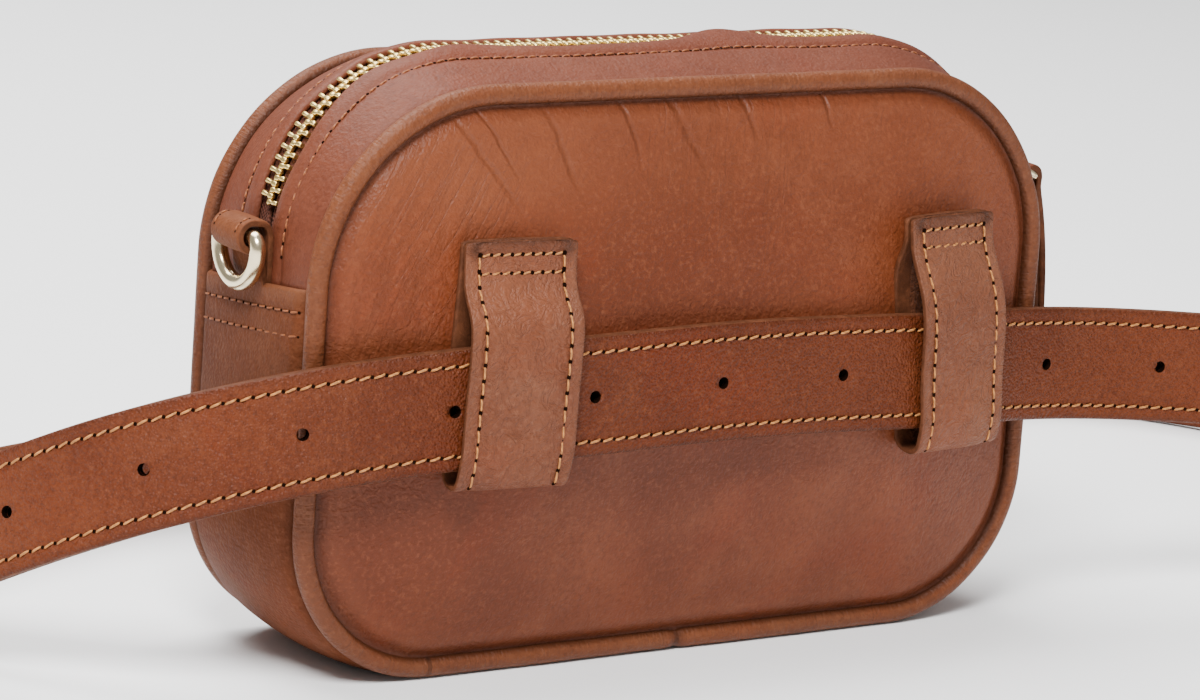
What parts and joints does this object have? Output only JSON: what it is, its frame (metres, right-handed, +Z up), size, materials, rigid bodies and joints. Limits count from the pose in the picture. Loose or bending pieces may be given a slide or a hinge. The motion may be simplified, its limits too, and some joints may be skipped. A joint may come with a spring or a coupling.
{
  "type": "belt pack",
  "caption": "Small box-shaped leather waist pack with a zipped top, piped edges, side D-rings and two back loops threaded on a punched two-ply belt with a pin buckle.",
  "frame": {"origin": "middle of the bag's flat underside, level with the floor it stands on", "axes": "+X along the bag's width towards the zip's closed end, +Y away from the wearer, +Z up"},
  "size_m": [0.4599, 0.2051, 0.1397],
  "materials": {
    "panel_leather": "pull-up cowhide, cognac brown, lightly waxed",
    "gusset_leather": "pull-up cowhide, cognac brown",
    "strip_leather": "pull-up cowhide, folded and stitched",
    "piping_leather": "thin wrapped leather",
    "belt_leather": "pebbled cowhide with rounded edges",
    "loop_leather": "folded cowhide with painted edges",
    "lining": "plain woven cotton lining",
    "board": "stiff fibre board",
    "cord": "round filler cord",
    "zip_tape": "woven zip tape, dark brown",
    "zip_brass": "pale polished brass",
    "ring_brass": "polished pale gold",
    "buckle_brass": "polished pale gold"
  },
  "bodies": {
    "bag": {"back_panel": "panel_leather", "front_panel": "panel_leather", "back_lining": "lining", "front_lining": "lining", "gusset_lining": "lining", "base_board": "board", "bottom_gusset": "gusset_leather", "zip_strip_back": "strip_leather", "zip_strip_front": "strip_leather", "zip_tape_back": "zip_tape", "zip_tape_front": "zip_tape", "zip_teeth_back": "zip_brass", "zip_teeth_front": "zip_brass", "zip_stop_back": "zip_brass", "zip_stop_front": "zip_brass", "back_piping": "piping_leather", "front_piping": "piping_leather", "back_piping_cord": "cord", "front_piping_cord": "cord", "d_ring_tab_left": "gusset_leather", "d_ring_tab_right": "gusset_leather", "belt_loop_left": "loop_leather", "belt_loop_right": "loop_leather"},
    "slider": {"zip_slider": "zip_brass"},
    "pull_link": {"zip_pull_link": "zip_brass"},
    "pull_leather": {"zip_pull_leather": "belt_leather"},
    "ring_left": {"d_ring_left": "ring_brass"},
    "ring_right": {"d_ring_right": "ring_brass"},
    "belt": {"belt_face": "belt_leather", "belt_lining": "belt_leather"},
    "keeper": {"belt_keeper": "belt_leather"},
    "buckle": {"buckle_frame": "buckle_brass"},
    "prong": {"buckle_prong": "buckle_brass"}
  },
  "joints": [
    {"name": "slider_travel", "type": "hinge", "parent": "bag", "child": "slider", "pos_m": [0.0565, 0, 0.0964], "axis": [0, -1, 0], "range_deg": [0, 65]},
    {"name": "pull_link_swing", "type": "hinge", "parent": "slider", "child": "pull_link", "pos_m": [0.10039, 0, 0.11066], "axis": [0, -1, 0], "range_deg": [0, 90]},
    {"name": "pull_leather_swing", "type": "hinge", "parent": "pull_link", "child": "pull_leather", "pos_m": [0.11439, 0, 0.1029], "axis": [0, -1, 0], "range_deg": [0, 90]},
    {"name": "d_ring_left_swing", "type": "hinge", "parent": "bag", "child": "ring_left", "pos_m": [-0.1052, 0, 0.0993], "axis": [0, 1, 0], "range_deg": [0, 150]},
    {"name": "d_ring_right_swing", "type": "hinge", "parent": "bag", "child": "ring_right", "pos_m": [0.1052, 0, 0.0993], "axis": [0, -1, 0], "range_deg": [0, 25]},
    {"name": "belt_slide", "type": "slide", "parent": "bag", "child": "belt", "axis": [1, 0, 0], "range_m": [-0.003, 0.003]},
    {"name": "buckle_frame_swing", "type": "hinge", "parent": "belt", "child": "buckle", "pos_m": [0.0535, 0.141, 0.019], "axis": [0, 0, 1], "range_deg": [-45, 80]},
    {"name": "prong_swing", "type": "hinge", "parent": "buckle", "child": "prong", "pos_m": [0.0535, 0.141, 0.019], "axis": [0, 0, -1], "range_deg": [0, 60]},
    {"name": "keeper_slide", "type": "slide", "parent": "belt", "child": "keeper", "axis": [1, 0, 0], "range_m": [-0.008, 0.008]}
  ]
}
